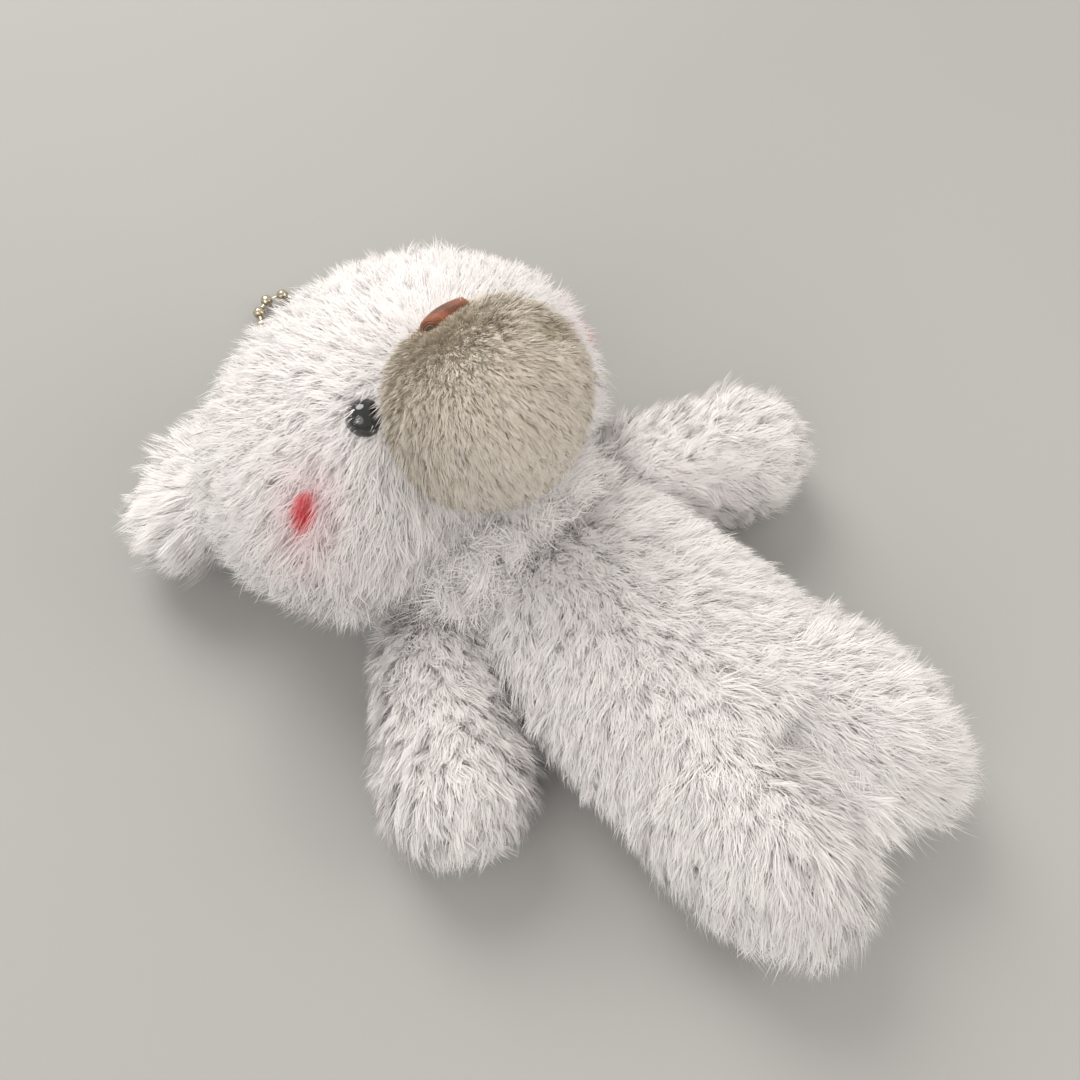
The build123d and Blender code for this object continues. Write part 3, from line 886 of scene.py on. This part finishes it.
def muzzleSkip(roots):
    across, up = noseFlat(roots)
    bow = noseLook["bowMm"]
    turn = np.arctan2(across, up + bow)
    middle = np.hypot(across, up + bow) - bow
    run = np.abs(turn) * bow
    half = noseLook["heightMm"] / 2 + 0.2
    past = np.maximum(0, run - (noseLook["widthMm"] - noseLook["heightMm"]) / 2)
    onNose = (np.hypot(past, middle) < half) & ((roots - muzzleMiddle) @ noseAhead > 6)
    return onNose | insideAny(roots, [headTree])


print("ears")
earLook = {
    "voxelMm": 0.8,
    "relax": 4,
    "startSmallerMm": 0.9,
    "pressure": 3,
    "capMm": 0.8,
    "fill": 0.35,
    "lengthMm": 5.4,
    "rimLengthMm": 8.4,
}
earPileLook = dict(bodyPileLook, fibresPerTuft=34, tuftPull=0.6, tipAngle=10)
earPad = {side: puffPad(f"earPad_{side}", [nodePoints(*panels(f"ear_{side}"))], earLook) for side in earFold}
earMiddle = {side: nodePoints(*panels(f"ear_{side}")).mean(axis=0) for side in earFold}


def earComb(side):
    way = unit(earMiddle[side] - earFold[side])

    def comb(roots, normals):
        return unit(roots - earFold[side]) + way * 0.5
    return comb


def earLength(side):
    def length(roots, normals):
        away = np.linalg.norm(roots - earMiddle[side], axis=1)
        share = np.clip((away - 6) / 5, 0, 1)
        return earLook["lengthMm"] + share * (earLook["rimLengthMm"] - earLook["lengthMm"])
    return length


# The pile is grown once every skin is there, and moves with its skin
bodyTree, headTree, muzzleTree, neckTree = (treeOf(pad) for pad in (bodyPad, headPad, muzzlePad, neckPad))
armTrees = [treeOf(pad) for pad in armPad.values()]

bodyPile = growPile(bodyPad, bodyPileLook, bodyComb, bodyLength, blockers=armTrees + [neckTree, headTree])
seamLevel = (torsoPoints[:, 2].min() + torsoPoints[:, 2].max()) / 2
for side, sign in (("left", 1), ("right", -1)):
    half = halfOfPad(bodyPad, f"bodyPad_{side}", sign)
    setFinish(half, whiteBacking)
    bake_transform(half)
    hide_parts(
        *panels("body"), "body_stuffing", f"body_{side}_seam_thread",
        *panels(f"leg_{side}"), f"leg_{side}_stuffing",
    )
    onSide = (bodyPile["root"][:, 0] - hipMiddle) * sign > 0
    above = bodyPile["root"][:, 2] > seamLevel
    for level, chosen in (("front", above), ("back", ~above)):
        piece = pilePiece(f"bodyPile_{side}_{level}", bodyPile, onSide & chosen, whitePile)
        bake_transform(piece)
bpy.data.objects.remove(bodyPad)

for side in ("left", "right"):
    pile = growPile(armPad[side], armPileLook, armComb(side), armLength(side), blockers=[bodyTree, headTree])
    way = unit(armWay(side))
    setFinish(armPad[side], whiteBacking)
    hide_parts(*panels(f"arm_{side}"), f"arm_{side}_stuffing")
    pilePart = pilePiece(f"armPile_{side}", pile, slice(None), whitePile)
    for piece in (armPad[side], pilePart):
        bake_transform(piece)

neckPile = growPile(
    neckPad, bodyPileLook,
    lambda roots, normals: unit(roots - neckPlace) + np.array([0, -0.3, 0]),
    lambda roots, normals: np.full(len(roots), neckLook["lengthMm"]),
    blockers=[bodyTree, headTree],
)
setFinish(neckPad, whiteBacking)
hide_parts("neck_stuffing", "neck_seam_thread")
for piece in (neckPad, pilePiece("neckPile", neckPile, slice(None), whitePile)):
    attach(piece, "neck")

headPile = growPile(
    headPad, headPileLook, headComb, headLength, skip=headSkip, dye=cheekDye,
    blockers=[muzzleTree, neckTree],
)
setFinish(headPad, whiteBacking)
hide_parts(*panels("head"), "head_stuffing", "head_seam_thread")
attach(headPad, "head")
ahead = faceFrame(headPile["root"])[2]
for level, chosen in (("front", ahead > 0), ("back", ahead <= 0)):
    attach(pilePiece(f"headPile_{level}", headPile, chosen, whitePile), "head")

# the muzzle's pile carries painted shade round the dart in its dye channel
muzzlePile = growPile(
    muzzlePad, muzzlePileLook, muzzleComb, muzzleLength, skip=muzzleSkip, dye=muzzleDartShade,
)
setFinish(muzzlePad, creamBacking)
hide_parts("muzzle_cover", "muzzle_stuffing")
for piece in (muzzlePad, pilePiece("muzzlePile", muzzlePile, slice(None), creamPile)):
    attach(piece, "head")

for side in ("left", "right"):
    pile = growPile(earPad[side], earPileLook, earComb(side), earLength(side), blockers=[headTree])
    setFinish(earPad[side], whiteBacking)
    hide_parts(*panels(f"ear_{side}"))
    way = unit(earMiddle[side] - earFold[side])
    pilePart = pilePiece(f"earPile_{side}", pile, slice(None), whitePile)
    for piece in (earPad[side], pilePart):
        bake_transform(piece)


def tubeMesh(name, paths, radius, sides=8):
    # one tube along each path, closed at both ends
    form = bmesh.new()
    for path in paths:
        path = np.array(path)
        ahead = unit(np.gradient(path, axis=0))
        guide = np.array([0.0, 0.0, 1.0]) if abs(ahead[0][2]) < 0.9 else np.array([1.0, 0.0, 0.0])
        rings = []
        for point, way in zip(path, ahead):
            across = unit(np.cross(way, guide))
            guide = np.cross(across, way)
            ring = []
            for angle in np.linspace(0, 2 * math.pi, sides, endpoint=False):
                offset = across * math.cos(angle) + guide * math.sin(angle)
                ring.append(form.verts.new((point + offset * radius) * mm))
            rings.append(ring)
        for first, second in zip(rings, rings[1:]):
            for k in range(sides):
                form.faces.new((first[k], first[(k + 1) % sides], second[(k + 1) % sides], second[k]))
        form.faces.new(rings[0][::-1])
        form.faces.new(rings[-1])
    mesh = bpy.data.meshes.new(name)
    form.to_mesh(mesh)
    form.free()
    mesh.polygons.foreach_set("use_smooth", np.ones(len(mesh.polygons), bool))
    return mesh


def twistedPaths(path, plies, radius, pitch):
    # plies that wind round one path
    path = np.array(path)
    ahead = unit(np.gradient(path, axis=0))
    run = np.concatenate([[0], np.cumsum(np.linalg.norm(np.diff(path, axis=0), axis=1))])
    guide = np.cross(ahead, [0.3, 0.2, 0.93])
    first = unit(guide)
    second = np.cross(ahead, first)
    result = []
    for ply in range(plies):
        angle = (2 * math.pi * (run / pitch + ply / plies))[:, None]
        result.append(path + (first * np.cos(angle) + second * np.sin(angle)) * radius)
    return result


print("nose stitches")
muzzleTree = treeOf(muzzlePad)


def noseStitches():
    half = noseLook["heightMm"] / 2
    straight = noseLook["widthMm"] / 2 - half
    bow = noseLook["bowMm"]
    stitches = []
    for run in np.arange(-straight - half + 0.2, straight + half - 0.1, noseLook["threadMm"] * 0.8):
        past = max(0.0, abs(run) - straight)
        reach = math.sqrt(max(0.04, half * half - past * past)) + rng.normal(0, 0.06)
        turn = run / bow + rng.normal(0, 0.006)
        stitch = []
        for level in np.linspace(-1, 1, 11):
            out = bow + level * reach
            flat = nosePlace + faceAcross * out * math.sin(turn) + noseUp * (out * math.cos(turn) - bow)
            near, normal, _, _ = muzzleTree.find_nearest(Vector(flat))
            rise = noseLook["paddingMm"] * math.sqrt(max(0, 1 - level * level)) * min(1, reach / half + 0.2)
            stitch.append(np.array(near) + np.array(normal) * (rise - 0.1))
        stitches.append(stitch)
    return stitches


nose = newPiece("noseSatinStitch", tubeMesh(
    "noseSatinStitch", noseStitches(), noseLook["threadMm"] / 2, sides=6,
))
setFinish(nose, noseFloss)
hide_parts("nose_embroidery")
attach(nose, "head")

dartLook = {"lengthMm": 2.4, "plyMm": 0.15, "pitchMm": 1.1, "plies": 3}
dartWay = np.linspace(-0.5, 0.5, 15)[:, None] * dartLook["lengthMm"]
dartPath = dartPlace + dartWay * faceUp - unit(dartPlace - muzzleMiddle) * muzzleLook["dartDepthMm"] * 0.7
dart = newPiece("muzzleDartStitch", tubeMesh(
    "muzzleDartStitch",
    twistedPaths(dartPath, dartLook["plies"], dartLook["plyMm"], dartLook["pitchMm"]),
    dartLook["plyMm"],
))
setFinish(dart, creamThread)
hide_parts("muzzle_dart_stitch")
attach(dart, "head")


print("eyes")
for side in ("left", "right"):
    for name, material, slotName in (
        (f"eye_{side}", eyeButton, "eye_plastic"),
        (f"eye_{side}_washer", washerNylon, "washer_plastic"),
    ):
        setFinish(frame["nodes"][name], material)


print("chain")
chainLook = {
    "ballMm": 2.4,
    "flats": 10,  # rolled flats round each ball, which catch the light
    "flatDepth": 0.05,  # of a ball's radius
    "mouthMm": 1.0,
    "mouthTurnMm": 0.25,  # how far a mouth's edge is turned in
    "mouthTaper": 0.8,
    "cordMm": 1.1,
    "cordPlies": 4,
    "cordPitchMm": 2.6,
}


def looseCentres(name):
    form = bmesh.new()
    form.from_mesh(frame["nodes"][name].data)
    bmesh.ops.remove_doubles(form, verts=form.verts, dist=1e-6)
    centres, seen = [], set()
    for vert in form.verts:
        if vert in seen:
            continue
        group, waiting = [], [vert]
        seen.add(vert)
        while waiting:
            one = waiting.pop()
            group.append(one.co.copy())
            for edge in one.link_edges:
                other = edge.other_vert(one)
                if other not in seen:
                    seen.add(other)
                    waiting.append(other)
        low = Vector([min(p[k] for p in group) for k in range(3)])
        high = Vector([max(p[k] for p in group) for k in range(3)])
        centres.append(np.array((low + high) / 2) / mm)
    form.free()
    return centres


def beadMesh(name, centres, neighbours):
    # a rolled ball: flats between its two mouths, each mouth turned in round the link
    radius = chainLook["ballMm"] / 2
    profile = []
    mouth = chainLook["mouthMm"] / 2
    reach = math.sqrt(radius ** 2 - mouth ** 2)
    turned = (reach - chainLook["mouthTurnMm"], mouth * chainLook["mouthTaper"])
    profile.append((-turned[0], turned[1]))
    for part in np.linspace(-1, 1, 9):
        place = reach * part
        profile.append((place, math.sqrt(radius ** 2 - place ** 2)))
    profile.append(turned)
    sides = chainLook["flats"] * 3
    form = bmesh.new()
    for centre in centres:
        others = sorted(neighbours, key=lambda other: np.linalg.norm(other - centre))[1:3]
        axis = unit(others[0] - others[1]) if len(others) == 2 else np.array([1.0, 0, 0])
        guide = unit(np.cross(axis, [0.21, 0.37, 0.9]))
        other = np.cross(axis, guide)
        rings = []
        for place, out in profile:
            ring = []
            for k in range(sides):
                angle = 2 * math.pi * k / sides
                dip = chainLook["flatDepth"] * math.cos(angle * chainLook["flats"])
                flat = 1 - dip * (out / radius) ** 2
                way = guide * math.cos(angle) + other * math.sin(angle)
                ring.append(form.verts.new((centre + axis * place + way * out * flat) * mm))
            rings.append(ring)
        for first, second in zip(rings, rings[1:]):
            for k in range(sides):
                form.faces.new((first[k], first[(k + 1) % sides], second[(k + 1) % sides], second[k]))
        form.faces.new(rings[0][::-1])
        form.faces.new(rings[-1])
    mesh = bpy.data.meshes.new(name)
    bmesh.ops.recalc_face_normals(form, faces=form.faces)
    form.to_mesh(mesh)
    form.free()
    mesh.polygons.foreach_set("use_smooth", np.ones(len(mesh.polygons), bool))
    return mesh


runs = ("upper", "lower", "free")
ballCentres = {run: looseCentres(f"chain_{run}_balls") for run in runs}
allBalls = [centre for run in runs for centre in ballCentres[run]]
for run in runs:
    beads = newPiece(f"chainBeads_{run}", beadMesh(f"chainBeads_{run}", ballCentres[run], allBalls))
    setFinish(beads, chainNickel)
    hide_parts(f"chain_{run}_balls")
    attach(beads, f"chain_{run}")
    setFinish(frame["nodes"][f"chain_{run}_links"], chainNickel)
setFinish(frame["nodes"]["chain_coupling"], chainNickel)


def loopPath():
    # the loop's round line, from one end in the crown seam to the other
    points = nodePoints("hanging_loop")
    joint = next(j for j in frame["joints"] if j["name"] == "chain_swing")
    across = unit(np.array(joint["axis"]))
    forward = unit(np.cross(across, [0, 0, 1]))
    radius = (points[:, 2].max() - points[:, 2].min() - chainLook["cordMm"]) / 2
    high = (points[:, 2].max() + points[:, 2].min()) / 2
    far = points[np.argmax(points @ forward)]
    middle = points.mean(axis=0)
    middle = middle + forward * ((far - middle) @ forward - radius - chainLook["cordMm"] / 2)
    middle[2] = high
    path = []
    for angle in np.linspace(-2.6, 2.6, 60):
        rise = np.array([0, 0, radius * math.sin(angle)])
        path.append(middle + forward * radius * math.cos(angle) + rise)
    return path


cordRadius = chainLook["cordMm"] / 2
hangingCord = newPiece("hangingLoopCord", tubeMesh(
    "hangingLoopCord",
    twistedPaths(loopPath(), chainLook["cordPlies"], cordRadius * 0.5, chainLook["cordPitchMm"]),
    cordRadius * 0.5,
))
setFinish(hangingCord, loopBraid)
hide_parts("hanging_loop")
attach(hangingCord, "head")


print("stage")
stageLook = {
    "floorMetres": 3.0,
    "floorShades": [(0.3, "#A9A9A8"), (0.7, "#B1B1B0")],
    "worldColour": "#FFF9F3",
    "worldStrength": 0.64,
    "cameraPlace": (-0.05745, -0.05341, 0.150),
    "cameraHeading": 50.0,  # from +Y towards +X
    "cameraElevation": 61.5,
    "cameraRoll": 3.65,
    "lensMm": 31.33,
}
lightLooks = {
    "windowLight": {"place": (0.10, 0.42, 0.50), "size": 0.40, "watts": 2.5, "colour": "#FFFAF4"},
    "fillLight": {"place": (-0.45, -0.10, 0.40), "size": 0.50, "watts": 1.0, "colour": "#FFFCF8"},
    "rimLight": {"place": (0.35, -0.40, 0.35), "size": 0.40, "watts": 0.8, "colour": "#FFF8F0"},
}

size = stageLook["floorMetres"] / 2
floorMesh = bpy.data.meshes.new("floor")
floorCorners = [(-size, -size, 0), (size, -size, 0), (size, size, 0), (-size, size, 0)]
floorMesh.from_pydata(floorCorners, [], [(0, 1, 2, 3)])
floor = newPiece("floor", floorMesh)
paper, paperTree, paperShader = newFinish("mattPaperGrey", {"Roughness": 0.9})
paperPlace = addNode(paperTree, "ShaderNodeTexCoord")
paperCloud = addNode(
    paperTree, "ShaderNodeTexNoise", {},
    {"Vector": paperPlace.outputs["Object"], "Scale": 3.0, "Detail": 3.0},
)
paperShade = addNode(
    paperTree, "ShaderNodeValToRGB", {"stops": stageLook["floorShades"]},
    {"Fac": paperCloud.outputs["Fac"]},
)
paperTree.links.new(paperShade.outputs["Color"], paperShader.inputs["Base Color"])
floor.data.materials.append(paper)

world = bpy.data.worlds.new("studio")
bpy.context.scene.world = world
world.use_nodes = True
sky = world.node_tree.nodes["Background"]
sky.inputs["Color"].default_value = hexColour(stageLook["worldColour"])
sky.inputs["Strength"].default_value = stageLook["worldStrength"]

for name, look in lightLooks.items():
    lamp = bpy.data.lights.new(name, "AREA")
    lamp.shape = "DISK"
    lamp.size = look["size"]
    lamp.energy = look["watts"]
    lamp.color = hexColour(look["colour"])[:3]
    holder = bpy.data.objects.new(name, lamp)
    bpy.context.scene.collection.objects.link(holder)
    holder.location = look["place"]
    holder.rotation_euler = (-Vector(look["place"])).to_track_quat("-Z", "Y").to_euler()

cameraData = bpy.data.cameras.new("camera")
cameraData.lens = stageLook["lensMm"]
cameraData.sensor_width = 36
cameraData.clip_start = 0.005
camera = bpy.data.objects.new("camera", cameraData)
bpy.context.scene.collection.objects.link(camera)
heading, elevation = (math.radians(stageLook[key]) for key in ("cameraHeading", "cameraElevation"))
level = math.cos(elevation)
view = Vector((math.sin(heading) * level, math.cos(heading) * level, -math.sin(elevation)))
roll = Matrix.Rotation(math.radians(stageLook["cameraRoll"]), 3, "Z")
turn = view.to_track_quat("-Z", "Y").to_matrix() @ roll
camera.rotation_euler = turn.to_euler()
camera.location = stageLook["cameraPlace"]
bpy.context.scene.camera = camera
bpy.context.scene.view_settings.view_transform = "Standard"
# white fibres pass light on many times before it comes out again
bpy.context.scene.cycles.diffuse_bounces = 10
bpy.context.scene.cycles.max_bounces = 16
